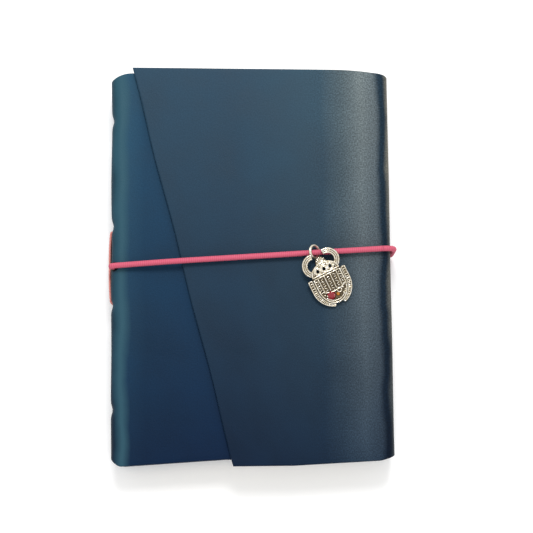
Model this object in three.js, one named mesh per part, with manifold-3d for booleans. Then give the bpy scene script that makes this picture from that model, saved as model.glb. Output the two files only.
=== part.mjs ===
// A pocket notebook in a wrap-round leather cover, closed by an elastic cord with a scarab charm.
// It lies flat on its back: +X points to the fore edge, +Y to the head, +Z up, in millimetres.
// The origin is under the middle of the notebook, on the surface that it lies on.
import * as THREE from "three";
import { mergeVertices } from "three/addons/utils/BufferGeometryUtils.js";
import Module from "manifold-3d";

const wasm = await Module();
wasm.setup();

// Driving dimensions
const pageWidth = 104;
const pageHeight = 148;
const sectionCount = 5;
const sectionThickness = 2.4;
const leafThickness = 0.5;
const leatherThickness = 1.8;
const coverMargin = 5;
const foldOutsideRadius = 4;
const spineRoom = 0.75;
const flapCornerHead = 101.7;
const flapCornerTail = 62.5;
const cordDiameter = 2.2;
const cordHoleRoom = 0.35;
const cordRise = 5.6;
const cordStartY = -0.4;
const knotDiameter = 3.6;
const threadDiameter = 0.8;
const threadPitch = 1.2;
const stitchLength = 28;
const charmWidth = 11.6;
const charmPlateThickness = 1.2;
const charmReliefHeight = 0.6;
const charmTilt = 26;
const charmPlace = 80.5;
const charmLoopRadius = 2.4;
const charmLoopWire = 0.9;
const charmLoopLean = 45;
const charmLoopLift = 0.4;
const stoneDiameter = 3.2;

// Clearances
const gap = 0.3;
const runningRoom = 0.2;

// Heights of the layers, from the surface up
const cordRadius = cordDiameter / 2;
const foldInsideRadius = foldOutsideRadius - leatherThickness;
const backBottom = cordDiameter + gap;
const backTop = backBottom + leatherThickness;
const blockBottom = backTop + gap;
const sectionPitch = sectionThickness + gap;
const blockTop = blockBottom + sectionCount * sectionPitch - gap;
const frontBottom = blockTop + gap;
const frontTop = frontBottom + leatherThickness;
const flapBottom = frontTop + gap;
const flapTop = flapBottom + leatherThickness;
const loopReach = charmLoopRadius * Math.sin(THREE.MathUtils.degToRad(charmLoopLean)) + charmLoopWire / 2;
const frontCordZ = flapTop + runningRoom + loopReach;
const rearCordZ = cordRadius;

// Places along the width and the height
const coverHeight = pageHeight + 2 * coverMargin;
const coverWidth = pageWidth + spineRoom + foldInsideRadius + 2 * leatherThickness;
const right = coverWidth / 2;
const left = -right;
const spineInside = left + leatherThickness;
const pageLeft = spineInside + spineRoom;
const pageRight = pageLeft + pageWidth;
const leftFoldX = left + foldOutsideRadius;
const rightFoldX = right - foldOutsideRadius;
const backFoldZ = backBottom + foldOutsideRadius;
const frontFoldZ = frontTop - foldOutsideRadius;
const flapFoldZ = flapTop - foldOutsideRadius;
const spineMiddleZ = (backFoldZ + frontFoldZ) / 2;

// Materials
const leather = () => new THREE.MeshStandardMaterial({ color: 0x1f3f5c, roughness: 0.45, metalness: 0 });
const paper = () => new THREE.MeshStandardMaterial({ color: 0xf1ead8, roughness: 0.9, metalness: 0 });
const elastic = () => new THREE.MeshStandardMaterial({ color: 0xf0607f, roughness: 0.7, metalness: 0 });
const silver = () => new THREE.MeshStandardMaterial({ color: 0xc9c2b4, roughness: 0.3, metalness: 1 });
const redGlass = () => new THREE.MeshStandardMaterial({ color: 0xc01530, roughness: 0.1, metalness: 0 });

const group = new THREE.Group();

function addMesh(name, geometry, material) {
  const mesh = new THREE.Mesh(geometry, material);
  mesh.name = name;
  group.add(mesh);
  return mesh;
}

// Solid from a closed geometry, for joins and cuts
function solidOf(geometry) {
  const bare = geometry.clone();
  bare.deleteAttribute("normal");
  bare.deleteAttribute("uv");
  const merged = mergeVertices(bare, 1e-4);
  return new wasm.Manifold(
    new wasm.Mesh({
      numProp: 3,
      vertProperties: merged.attributes.position.array,
      triVerts: new Uint32Array(merged.index.array),
    }),
  );
}

function geometryOf(solid) {
  const mesh = solid.getMesh();
  const geometry = new THREE.BufferGeometry();
  geometry.setAttribute("position", new THREE.BufferAttribute(new Float32Array(mesh.vertProperties), 3));
  geometry.setIndex(new THREE.BufferAttribute(new Uint32Array(mesh.triVerts), 1));
  geometry.computeVertexNormals();
  return geometry;
}

function join(geometries) {
  const solids = geometries.map(solidOf);
  return geometryOf(solids.reduce((sum, solid) => sum.add(solid)));
}

function cut(geometry, tools) {
  const solids = tools.map(solidOf);
  return geometryOf(solids.reduce((rest, tool) => rest.subtract(tool), solidOf(geometry)));
}

// A profile drawn in X and Z, carried along Y over a length centred on the origin
function alongY(shape, length, curveSegments = 8) {
  const geometry = new THREE.ExtrudeGeometry(shape, { depth: length, bevelEnabled: false, curveSegments });
  geometry.rotateX(Math.PI / 2);
  geometry.translate(0, length / 2, 0);
  return geometry;
}

// A flat outline drawn in X and Y, raised from one height over a thickness
function raised(shape, bottom, thickness, curveSegments = 8) {
  const geometry = new THREE.ExtrudeGeometry(shape, { depth: thickness, bevelEnabled: false, curveSegments });
  geometry.translate(0, 0, bottom);
  return geometry;
}

function boxBetween(low, high) {
  const size = new THREE.Vector3().subVectors(high, low);
  const middle = new THREE.Vector3().addVectors(high, low).multiplyScalar(0.5);
  return new THREE.BoxGeometry(size.x, size.y, size.z).translate(middle.x, middle.y, middle.z);
}

// A round bar between two points, for drilling
function bar(start, end, radius, sides = 12) {
  const direction = new THREE.Vector3().subVectors(end, start);
  const geometry = new THREE.CylinderGeometry(radius, radius, direction.length(), sides);
  const turn = new THREE.Quaternion().setFromUnitVectors(
    new THREE.Vector3(0, 1, 0),
    direction.clone().normalize(),
  );
  const middle = new THREE.Vector3().addVectors(start, end).multiplyScalar(0.5);
  return geometry.applyQuaternion(turn).translate(middle.x, middle.y, middle.z);
}

// A round cord or wire along a curve
function tube(curve, radius, steps, sides = 8) {
  const section = new THREE.Shape(
    Array.from({ length: sides }, (_, i) => {
      const angle = (2 * Math.PI * i) / sides;
      return new THREE.Vector2(radius * Math.cos(angle), radius * Math.sin(angle));
    }),
  );
  return new THREE.ExtrudeGeometry(section, { steps, bevelEnabled: false, extrudePath: curve });
}

// One leather panel with a rounded fold at its end. side is -1 at the spine and 1 at the fore edge,
// up is 1 where the fold turns down from the panel and -1 where it turns up.
function foldedPanel(side, up, foldX, foldZ, farX) {
  const shape = new THREE.Shape();
  const outer = foldOutsideRadius;
  const inner = foldInsideRadius;
  const across = side > 0 ? 0 : Math.PI;
  const straight = (up * Math.PI) / 2;
  const clockwise = side * up < 0;
  shape.moveTo(foldX + side * outer, foldZ);
  shape.absarc(foldX, foldZ, outer, across, straight, clockwise);
  shape.lineTo(farX, foldZ + up * outer);
  shape.lineTo(farX, foldZ + up * inner);
  shape.lineTo(foldX, foldZ + up * inner);
  shape.absarc(foldX, foldZ, inner, straight, across, !clockwise);
  return shape;
}

// Back cover: a flat panel with a fold turned up at the spine and at the fore edge
function backCover() {
  const spineHalf = foldedPanel(-1, -1, leftFoldX, backFoldZ, 1);
  const foreHalf = foldedPanel(1, -1, rightFoldX, backFoldZ, -1);
  return join([alongY(spineHalf, coverHeight), alongY(foreHalf, coverHeight)]);
}

// Upright strip of leather between two folds
function uprightStrip(innerX, bottom, top) {
  const low = new THREE.Vector3(innerX, -coverHeight / 2, bottom);
  const high = new THREE.Vector3(innerX + leatherThickness, coverHeight / 2, top);
  return boxBetween(low, high);
}

// The cord lies in an upright plane that leans a little towards the head
const cordLean = Math.atan2(cordRise, coverWidth);

function onCordPlane(geometry) {
  return geometry.rotateZ(cordLean).translate(left, cordStartY, 0);
}

// Points of the cord in its own plane, by distance from the spine's outside and height
const holeAngle = Math.PI / 4;
const outsideSeat = foldOutsideRadius + cordRadius + gap;
const planePoint = (x, z) => new THREE.Vector3(x - left, 0, z);

function foldPoint(radius, angle, up) {
  const x = leftFoldX - radius * Math.cos(angle);
  const z = (up > 0 ? frontFoldZ : backFoldZ) + up * radius * Math.sin(angle);
  return planePoint(x, z);
}

const knotSeat = foldInsideRadius - gap - knotDiameter / 2;
const frontInside = foldPoint(knotSeat, holeAngle, 1);
const rearHoleInset = 1;
const rearHoleX = leftFoldX + rearHoleInset;
const rearTurnRadius = 1.55 * cordRadius;
const rearInside = planePoint(rearHoleX, backTop + gap + knotDiameter / 2);
const bendRadius = 5;
const bendX = right + gap + cordRadius;
const runEnd = bendX - bendRadius;
const riseLength = 30;
const riseEase = 10;
const levelStart = left + riseLength;
const foldWrap = 0.35;
const foldClearance = 0.9;
const frontCrest = 3;
const drillOver = 1.5;

function knotAt(point, radius) {
  return new THREE.IcosahedronGeometry(radius, 1).translate(point.x, point.y, point.z);
}

// An arc in the cord's plane, from one angle to another round a centre
class PlaneArc extends THREE.Curve {
  constructor(centre, radius, startAngle, endAngle) {
    super();
    Object.assign(this, { centre, radius, startAngle, endAngle });
  }

  getPoint(t, target = new THREE.Vector3()) {
    const angle = this.startAngle + (this.endAngle - this.startAngle) * t;
    const { centre, radius } = this;
    return target.set(centre.x + radius * Math.cos(angle), 0, centre.z + radius * Math.sin(angle));
  }
}

// Front run: out of its hole, up to the level of the loop, and straight to the fore edge
function frontRun() {
  const root = new THREE.CatmullRomCurve3(
    [
      frontInside,
      foldPoint(foldOutsideRadius + cordRadius / 2, holeAngle, 1),
      foldPoint(outsideSeat + foldClearance, holeAngle + foldWrap, 1),
      planePoint(leftFoldX + frontCrest, frontTop + gap + cordDiameter),
      planePoint(levelStart - riseEase, frontCordZ - cordRadius / 2),
      planePoint(levelStart, frontCordZ),
    ],
    false,
    "centripetal",
  );
  const level = new THREE.LineCurve3(
    planePoint(levelStart, frontCordZ),
    planePoint(runEnd - gap, frontCordZ),
  );
  const pieces = [
    tube(root, cordRadius, 28),
    tube(level, cordRadius, 2),
    knotAt(frontInside, knotDiameter / 2),
  ];
  return onCordPlane(join(pieces));
}

// Fore-edge bend: over the fold, down the fore edge and back under the cover
function foreEdgeBend() {
  const top = planePoint(runEnd, frontCordZ - bendRadius);
  const low = planePoint(runEnd, rearCordZ + bendRadius);
  const path = new THREE.CurvePath();
  path.add(new PlaneArc(top, bendRadius, Math.PI / 2, 0));
  path.add(
    new THREE.LineCurve3(
      planePoint(bendX, frontCordZ - bendRadius),
      planePoint(bendX, rearCordZ + bendRadius),
    ),
  );
  path.add(new PlaneArc(low, bendRadius, 0, -Math.PI / 2));
  return onCordPlane(tube(path, cordRadius, 36));
}

// Rear run: flat under the back cover, then up through its hole at the spine
function rearRun() {
  const turnCentre = planePoint(rearHoleX + rearTurnRadius, rearCordZ + rearTurnRadius);
  const path = new THREE.CurvePath();
  path.add(
    new THREE.LineCurve3(
      planePoint(runEnd - gap, rearCordZ),
      planePoint(rearHoleX + rearTurnRadius, rearCordZ),
    ),
  );
  path.add(new PlaneArc(turnCentre, rearTurnRadius, -Math.PI / 2, -Math.PI));
  path.add(new THREE.LineCurve3(planePoint(rearHoleX, rearCordZ + rearTurnRadius), rearInside));
  return onCordPlane(join([tube(path, cordRadius, 70), knotAt(rearInside, knotDiameter / 2)]));
}

// Holes for the cord: through the fold of the front cover, and through the back cover
const cordHoleRadius = cordRadius + cordHoleRoom;

function frontCordHole() {
  const start = foldPoint(foldInsideRadius - drillOver, holeAngle, 1);
  const end = foldPoint(foldOutsideRadius + drillOver, holeAngle, 1);
  return onCordPlane(bar(start, end, cordHoleRadius));
}

function rearCordHole() {
  const start = planePoint(rearHoleX, backBottom - drillOver);
  const end = planePoint(rearHoleX, backTop + drillOver);
  return onCordPlane(bar(start, end, cordHoleRadius));
}

// Kerf in the folds of the sections, with room for the two knots of the cord
function knotKerf(inside) {
  const room = knotDiameter / 2 + gap;
  const start = new THREE.Vector3(0, 0, inside.z);
  const end = new THREE.Vector3(inside.x + room, 0, inside.z);
  return onCordPlane(bar(start, end, room));
}

// Folded section of paper: a slab whose fold is rounded
function section(bottom, thickness) {
  const radius = thickness / 2;
  const shape = new THREE.Shape();
  shape.moveTo(pageLeft + radius, bottom);
  shape.lineTo(pageRight, bottom);
  shape.lineTo(pageRight, bottom + thickness);
  shape.lineTo(pageLeft + radius, bottom + thickness);
  shape.absarc(pageLeft + radius, bottom + radius, radius, Math.PI / 2, (3 * Math.PI) / 2, false);
  return alongY(shape, pageHeight, 6);
}

// Stitches along the outside of the spine, one for each section
const stitchHeights = Array.from(
  { length: sectionCount },
  (_, i) => spineMiddleZ + (i - (sectionCount - 1) / 2) * threadPitch,
);
const threadX = left - gap - threadDiameter / 2;
const stitchBow = 0.4;
const stitchShoulder = 1.2;

function stitch(z) {
  const half = stitchLength / 2;
  const inside = spineInside - leatherThickness / 4;
  const path = new THREE.CatmullRomCurve3(
    [
      new THREE.Vector3(inside, half, z),
      new THREE.Vector3(left, half, z),
      new THREE.Vector3(threadX, half - stitchShoulder, z),
      new THREE.Vector3(threadX - stitchBow, 0, z),
      new THREE.Vector3(threadX, stitchShoulder - half, z),
      new THREE.Vector3(left, -half, z),
      new THREE.Vector3(inside, -half, z),
    ],
    false,
    "centripetal",
  );
  return tube(path, threadDiameter / 2, 36, 6);
}

function stitchHoles() {
  const slotReach = threadDiameter;
  const low = stitchHeights[0] - slotReach;
  const high = stitchHeights[sectionCount - 1] + slotReach;
  return [-1, 1].map((side) => {
    const y = (side * stitchLength) / 2;
    const nearEdge = y - slotReach - gap;
    const farEdge = y + slotReach + gap;
    return boxBetween(
      new THREE.Vector3(left - drillOver, nearEdge, low),
      new THREE.Vector3(spineInside + drillOver, farEdge, high),
    );
  });
}

// Charm, in its own frame: the loop is at the origin, the tail points to -Y, the back lies at Z 0
const charmScale = charmWidth / 2;
const charmRelief = charmPlateThickness + charmReliefHeight;
const headTop = -2.6;
const headHalfWidth = 2.2;
const headDrop = 0.7;
const thoraxTop = -4.9;
const thoraxFoot = -9.3;
const caseTurn = -14.7;
const caseFoot = -22;
const panelWidth = 1.85;
const panelFoot = caseFoot - 1.2;
const panelInner = charmScale + gap;
const panelOuter = panelInner + panelWidth;
const legRadius = 3.6;
const legWidth = 2;
const legThickness = 0.9;
const legX = 3;
const legY = -5.1;
const legRoot = -0.32 * Math.PI;
const legEnd = 0.55 * Math.PI;
const holeSpacing = 2.65;
const holeRadius = 0.6;
const holeRise = 1.6;
const rimWidth = 0.55;
const rimTop = thoraxFoot - 0.8;
const rimFoot = caseFoot + 0.6;
const ribCount = 4;
const ribSpacing = 2.1;
const ribWidth = 0.8;
const ribTop = thoraxFoot - 1.9;
const ribLength = 4.9;
const ribDrop = 0.1;
const panelTop = thoraxFoot - 0.6;
const openLeft = -2.1;
const openRight = 2.6;
const webReach = 0.4;
const webLow = caseTurn - 2;
const webHigh = caseTurn + 3;
const waistFoot = thoraxFoot - 1;
const waistTop = thoraxFoot + 0.2;
const stoneX = -1.9;
const stoneY = -18.3;
const stoneHeight = 1.3;

// Outline of the wing case: straight shoulders and a round foot
function caseOutline(halfWidth, top, foot) {
  const shape = new THREE.Shape();
  shape.moveTo(halfWidth, top);
  shape.lineTo(-halfWidth, top);
  shape.absellipse(0, caseTurn, halfWidth, caseTurn - foot, Math.PI, 2 * Math.PI, false, 0);
  shape.closePath();
  return shape;
}

// Upper half of an ellipse, for the head and the thorax
function dome(halfWidth, foot, top) {
  const shape = new THREE.Shape();
  shape.absellipse(0, foot, halfWidth, top - foot, 0, Math.PI, false, 0);
  shape.closePath();
  return shape;
}

// Front leg: a band of an arc that starts on the thorax and ends beside the loop
function leg(side) {
  const from = side > 0 ? legRoot : Math.PI - legEnd;
  const to = side > 0 ? legEnd : Math.PI - legRoot;
  const shape = new THREE.Shape();
  shape.absarc(side * legX, legY, legRadius + legWidth / 2, from, to, false);
  shape.absarc(side * legX, legY, legRadius - legWidth / 2, to, from, true);
  shape.closePath();
  return raised(shape, 0, legThickness, 12);
}

// An outline cut right through the charm
function through(shape) {
  return raised(shape, -drillOver, charmRelief + 2 * drillOver, 16);
}

// Side panels: two curved strips beside the wing case, open at the foot and held by thin webs
function sidePanels() {
  const outer = raised(caseOutline(panelOuter, panelTop, panelFoot), 0, charmPlateThickness, 16);
  const inner = through(caseOutline(panelInner, panelTop + drillOver, caseFoot - gap));
  const openFoot = boxBetween(
    new THREE.Vector3(openLeft, panelFoot - drillOver, -drillOver),
    new THREE.Vector3(openRight, caseTurn, charmRelief + drillOver),
  );
  return cut(outer, [inner, openFoot]);
}

function webs() {
  return boxBetween(
    new THREE.Vector3(-panelInner - webReach, webLow, 0),
    new THREE.Vector3(panelInner + webReach, webHigh, charmPlateThickness / 2),
  );
}

// Relief of the wing case: a raised rim and upright ribs
function caseRelief() {
  const rim = cut(raised(caseOutline(charmScale, rimTop, rimFoot), 0, charmRelief, 16), [
    through(caseOutline(charmScale - rimWidth, rimTop - rimWidth, rimFoot + rimWidth)),
  ]);
  const ribs = Array.from({ length: ribCount }, (_, i) => {
    const x = (i - (ribCount - 1) / 2) * ribSpacing;
    return boxBetween(
      new THREE.Vector3(x - ribWidth / 2, ribTop - ribLength, 0),
      new THREE.Vector3(x + ribWidth / 2, ribTop, charmRelief - ribDrop),
    );
  });
  return [rim, ...ribs];
}

function charmCasting() {
  const head = raised(dome(headHalfWidth, thoraxTop - 0.6, headTop), -headDrop, charmRelief + headDrop);
  const thorax = raised(dome(charmScale, thoraxFoot, thoraxTop), 0, charmRelief, 16);
  const waist = boxBetween(
    new THREE.Vector3(-charmScale, waistFoot, 0),
    new THREE.Vector3(charmScale, waistTop, charmPlateThickness),
  );
  const wings = raised(caseOutline(charmScale, rimTop, caseFoot), 0, charmPlateThickness, 16);
  const parts = [head, thorax, waist, wings, leg(-1), leg(1), sidePanels(), webs(), ...caseRelief()];
  const holeY = thoraxFoot + holeRise;
  const holes = [-1, 0, 1].map((place) =>
    bar(
      new THREE.Vector3(place * holeSpacing, holeY, -drillOver),
      new THREE.Vector3(place * holeSpacing, holeY, charmRelief + drillOver),
      holeRadius,
      10,
    ),
  );
  const pocket = bar(
    new THREE.Vector3(stoneX, stoneY, charmPlateThickness / 2),
    new THREE.Vector3(stoneX, stoneY, charmRelief + drillOver),
    stoneDiameter / 2 + gap,
  );
  return cut(join(parts), [...holes, pocket]);
}

// Stone: flat underneath, with a girdle and a table, in the pocket
function stone() {
  const radius = stoneDiameter / 2;
  const floor = charmPlateThickness / 2 + runningRoom;
  const profile = [
    new THREE.Vector2(0, floor),
    new THREE.Vector2(0.8 * radius, floor),
    new THREE.Vector2(radius, floor + 0.4 * stoneHeight),
    new THREE.Vector2(0.55 * radius, floor + stoneHeight),
    new THREE.Vector2(0, floor + stoneHeight),
  ];
  return new THREE.LatheGeometry(profile, 8).rotateX(Math.PI / 2).translate(stoneX, stoneY, 0);
}

// From the charm's own frame to its place: the legs lie over the cord and the tail on the flap
const overCord = cordRadius + runningRoom;
const leanStart = -3.5;
const charmSlope = Math.atan2(overCord + loopReach, leanStart - panelFoot);
const charmTurn = THREE.MathUtils.degToRad(charmTilt) - cordLean;

function onCharm(geometry) {
  geometry.translate(0, -leanStart, 0).rotateX(charmSlope).translate(0, leanStart, overCord);
  return onCordPlane(geometry.rotateZ(charmTurn).translate(charmPlace, charmLoopLift, frontCordZ));
}

function charmLoop() {
  const ring = new THREE.TorusGeometry(charmLoopRadius, charmLoopWire / 2, 8, 24);
  ring.rotateY(THREE.MathUtils.degToRad(charmLoopLean));
  return onCordPlane(ring.translate(charmPlace, charmLoopLift, frontCordZ));
}

// Leather
const frontPanel = foldedPanel(-1, 1, leftFoldX, frontFoldZ, rightFoldX - gap);
addMesh("back_cover", cut(backCover(), [rearCordHole()]), leather());
addMesh("spine", cut(uprightStrip(left, backFoldZ + gap, frontFoldZ - gap), stitchHoles()), leather());
addMesh("front_cover", cut(alongY(frontPanel, coverHeight), [frontCordHole()]), leather());
addMesh(
  "fore_edge_strip",
  uprightStrip(right - leatherThickness, backFoldZ + gap, flapFoldZ - gap),
  leather(),
);

function flap() {
  const panel = alongY(foldedPanel(1, 1, rightFoldX, flapFoldZ, left), coverHeight);
  const over = 10;
  const headX = right - flapCornerHead;
  const tailX = right - flapCornerTail;
  const slope = (tailX - headX) / coverHeight;
  const waste = new THREE.Shape([
    new THREE.Vector2(left - over, -coverHeight / 2 - over),
    new THREE.Vector2(tailX + slope * over, -coverHeight / 2 - over),
    new THREE.Vector2(headX - slope * over, coverHeight / 2 + over),
    new THREE.Vector2(left - over, coverHeight / 2 + over),
  ]);
  return cut(panel, [raised(waste, flapBottom - over, leatherThickness + 2 * over)]);
}
addMesh("flap", flap(), leather());

// Paper: the sections, of which the top one and two leaves of the next one turn
const leafPitch = leafThickness + gap;
const kerfs = [knotKerf(frontInside), knotKerf(rearInside)];
for (let i = 0; i < sectionCount; i += 1) {
  const bottom = blockBottom + i * sectionPitch;
  const thickness = i === sectionCount - 2 ? sectionThickness - 2 * leafPitch : sectionThickness;
  addMesh(`section_${i + 1}`, cut(section(bottom, thickness), kerfs), paper());
}

const leafLeft = pageLeft + sectionThickness / 2;
const leavesBottom = blockBottom + (sectionCount - 1) * sectionPitch - 2 * leafPitch;
for (let i = 0; i < 2; i += 1) {
  const bottom = leavesBottom + i * leafPitch;
  const leaf = boxBetween(
    new THREE.Vector3(leafLeft, -pageHeight / 2, bottom),
    new THREE.Vector3(pageRight, pageHeight / 2, bottom + leafThickness),
  );
  addMesh(`leaf_${i + 1}`, cut(leaf, kerfs), paper());
}

// Sewing, cord and charm
stitchHeights.forEach((z, i) => addMesh(`stitch_${i + 1}`, stitch(z), elastic()));
addMesh("elastic_front_run", frontRun(), elastic());
addMesh("elastic_fore_edge_bend", foreEdgeBend(), elastic());
addMesh("elastic_rear_run", rearRun(), elastic());
addMesh("charm_loop", charmLoop(), silver());
addMesh("scarab_charm", onCharm(charmCasting()), silver());
addMesh("red_stone", onCharm(stone()), redGlass());

// The origin goes under the middle of the whole object
const overall = new THREE.Box3().setFromObject(group);
const middle = overall.getCenter(new THREE.Vector3());
group.children.forEach((mesh) => mesh.geometry.translate(-middle.x, -middle.y, -overall.min.z));

export default group;
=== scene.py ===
"""A pocket notebook in a wrap-round blue leather cover, closed by a pink elastic with a scarab charm.

Lengths in this script are millimetres in the row frame until a mesh is made, which turns them into metres.
"""

import math

import bpy
import numpy as np
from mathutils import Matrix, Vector


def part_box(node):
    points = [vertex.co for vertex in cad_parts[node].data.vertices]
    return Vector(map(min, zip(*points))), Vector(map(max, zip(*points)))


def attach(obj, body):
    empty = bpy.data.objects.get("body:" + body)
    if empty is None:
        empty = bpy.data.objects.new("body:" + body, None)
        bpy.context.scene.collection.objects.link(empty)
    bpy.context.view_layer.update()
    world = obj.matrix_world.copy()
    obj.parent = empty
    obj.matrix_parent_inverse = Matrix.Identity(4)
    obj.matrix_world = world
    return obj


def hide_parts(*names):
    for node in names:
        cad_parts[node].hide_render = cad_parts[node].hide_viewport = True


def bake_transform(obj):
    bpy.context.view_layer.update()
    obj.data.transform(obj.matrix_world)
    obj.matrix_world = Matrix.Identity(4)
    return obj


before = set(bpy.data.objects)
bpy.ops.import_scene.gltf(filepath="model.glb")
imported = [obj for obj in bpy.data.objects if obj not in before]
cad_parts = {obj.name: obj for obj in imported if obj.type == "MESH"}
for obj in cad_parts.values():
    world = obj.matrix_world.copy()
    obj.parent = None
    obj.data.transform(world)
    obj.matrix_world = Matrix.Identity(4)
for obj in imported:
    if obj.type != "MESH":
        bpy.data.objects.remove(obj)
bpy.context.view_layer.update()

MM = 0.001


def span(node):
    """Lowest and highest corner of a CAD node, in millimetres."""
    low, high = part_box(node)
    return np.array(low) / MM, np.array(high) / MM


# Sizes of the leather, and places taken from the frame
LEATHER = 1.8
FOLD = 4.0
FOLD_MIDDLE = FOLD - LEATHER / 2
FLAP_TAIL_WIDTH = 62.5
left = span("spine")[0][0]
right = span("fore_edge_strip")[1][0]
back_fold_z = span("back_cover")[1][2]
front_fold_z = span("front_cover")[0][2]
flap_fold_z = span("flap")[0][2]
flap_top = span("flap")[1][2]
left_fold_x = left + FOLD
right_fold_x = right - FOLD
front_end_x = span("front_cover")[1][0]
half_height = span("flap")[1][1]
slant_head_x = span("flap")[0][0]
slant_tail_x = right - FLAP_TAIL_WIDTH

# The cord, which rises towards the head from the spine to the fore edge. HOLE_ANGLE is the place of
# its hole on the round of the front fold: nothing at the spine, a quarter turn on the cover.
CORD_RADIUS = 1.1
CORD_RISE = 5.6
CORD_START_Y = -0.4
HOLE_ANGLE = math.radians(45)
cord_lean = math.atan2(CORD_RISE, right - left)
cord_z = span("elastic_front_run")[1][2] - CORD_RADIUS
loop_middle = (span("charm_loop")[0] + span("charm_loop")[1]) / 2


# Meshes


def grid_quads(rows, columns, wrap=False):
    """Corner numbers of the quads between neighbours; wrap closes the rows on themselves."""
    count = rows if wrap else rows - 1
    i, j = np.meshgrid(np.arange(count), np.arange(columns - 1), indexing="ij")
    k = (i + 1) % rows
    here, there = i * columns + j, k * columns + j
    return np.stack([here, there, there + 1, here + 1], -1).reshape(-1, 4)


def path_length(path):
    """How far along the path each of its points lies."""
    return np.concatenate([[0], np.cumsum(np.linalg.norm(np.diff(path, axis=0), axis=1))])


def directions(path):
    """Unit vectors along the path at its points."""
    step = np.gradient(path, axis=0)
    return step / np.linalg.norm(step, axis=1, keepdims=True)


def signed_volume(points, quads):
    """Volume inside closed quads: the sum of the tetrahedra from the origin to each half quad."""
    a, b, c, d = (points[quads[:, n]] for n in range(4))
    return float((np.cross(a, b) * c).sum() + (np.cross(a, c) * d).sum()) / 6


def make_mesh(name, points, quads, material, maps=None, smooth=True):
    """One mesh object at the origin, from points in millimetres, with its faces turned outwards."""
    points = np.asarray(points, float)
    quads = np.asarray(quads, int)
    if signed_volume(points, quads) < 0:
        quads = quads[:, ::-1]
    mesh = bpy.data.meshes.new(name)
    mesh.from_pydata((points * MM).tolist(), [], quads.tolist())
    mesh.validate()
    mesh.polygons.foreach_set("use_smooth", [smooth] * len(mesh.polygons))
    corners = np.empty(len(mesh.loops), int)
    mesh.loops.foreach_get("vertex_index", corners)
    for label, places in (maps or {}).items():
        layer = mesh.uv_layers.new(name=label)
        layer.data.foreach_set("uv", np.asarray(places, float)[corners].ravel())
    obj = bpy.data.objects.new(name, mesh)
    bpy.context.scene.collection.objects.link(obj)
    mesh.materials.append(material)
    mesh.update()
    return obj


def gather(name, parts, material):
    """Several closed surfaces as one mesh; each part is (points, quads)."""
    points, quads, start = [], [], 0
    for part_points, part_quads in parts:
        if signed_volume(part_points, part_quads) < 0:
            part_quads = part_quads[:, ::-1]
        points.append(part_points)
        quads.append(part_quads + start)
        start += len(part_points)
    return make_mesh(name, np.concatenate(points), np.concatenate(quads), material)


CAP_RADII = np.array([0.02, 0.6])
CAP_REACH = np.array([0.45, 0.3])
CAP_POINTS = len(CAP_RADII)


def ends_repeated(values, axis=0):
    """The values with the first and the last repeated for the points of the round ends."""
    pads = [(0, 0)] * values.ndim
    pads[axis] = (CAP_POINTS, CAP_POINTS)
    return np.pad(values, pads, mode="edge")


def tube_grid(path, radius, sides, up, swell=None):
    """A round section carried along a path: point + radius * (cos a * side + sin a * top).

    side is square to the path and to up. swell scales the radius by angle and by length along the
    path. Each end gets two smaller rings, at CAP_REACH radii beyond it and of CAP_RADII radii.
    """
    path = np.asarray(path, float)
    step = directions(path)
    side = np.cross(step, np.asarray(up, float))
    side /= np.linalg.norm(side, axis=1, keepdims=True)
    top = ends_repeated(np.cross(side, step))
    side = ends_repeated(side)
    angles = np.linspace(0, 2 * np.pi, sides, endpoint=False)
    scale = np.ones((sides, len(path)))
    if swell is not None:
        scale = swell(angles[:, None], path_length(path)[None, :])
    caps = np.concatenate([CAP_RADII, np.ones(len(path)), CAP_RADII[::-1]])
    reach = radius * CAP_REACH[:, None]
    before, after = path[:1] - step[:1] * reach, path[-1:] + step[-1:] * reach[::-1]
    path = np.concatenate([before, path, after])
    r = (radius * caps * ends_repeated(scale, axis=1))[:, :, None]
    a = angles[:, None, None]
    points = path + r * (np.cos(a) * side + np.sin(a) * top)
    return points.reshape(-1, 3), grid_quads(sides, len(path), wrap=True)


def smooth_path(knots, steps):
    """A Catmull-Rom curve through the knots, with evenly many steps between each two."""
    knots = np.asarray(knots, float)
    ends = np.concatenate([[2 * knots[0] - knots[1]], knots, [2 * knots[-1] - knots[-2]]])
    t = np.linspace(0, 1, steps, endpoint=False)[None, :, None]
    a, b, c, d = (ends[n : n + len(knots) - 1][:, None, :] for n in range(4))
    square, cube = 2 * a - 5 * b + 4 * c - d, 3 * b - a - 3 * c + d
    curve = 0.5 * (2 * b + (c - a) * t + square * t**2 + cube * t**3)
    return np.concatenate([curve.reshape(-1, 3), knots[-1:]])


def arc(x, z, radius, start, end, steps):
    """Points of an arc in X and Z, by angle in degrees from +X towards +Z."""
    a = np.radians(np.linspace(start, end, steps))
    return np.stack([x + radius * np.cos(a), z + radius * np.sin(a)], -1)


def run(start, end, steps):
    """Evenly spaced points of a straight line."""
    return np.linspace(start, end, steps)


# Materials


def linear(code):
    """A colour written as red, green and blue in hexadecimal, in linear light."""
    values = [int(code[n : n + 2], 16) / 255 for n in (0, 2, 4)]
    return tuple(v / 12.92 if v <= 0.04045 else ((v + 0.055) / 1.055) ** 2.4 for v in values) + (1.0,)


def new_material(name, roughness, metallic=0.0, specular=0.5):
    """A material with its nodes, its links and its Principled shader."""
    material = bpy.data.materials.new(name)
    material.use_nodes = True
    shader = material.node_tree.nodes["Principled BSDF"]
    shader.inputs["Roughness"].default_value = roughness
    shader.inputs["Metallic"].default_value = metallic
    shader.inputs["Specular IOR Level"].default_value = specular
    return material, material.node_tree.nodes, material.node_tree.links, shader


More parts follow.
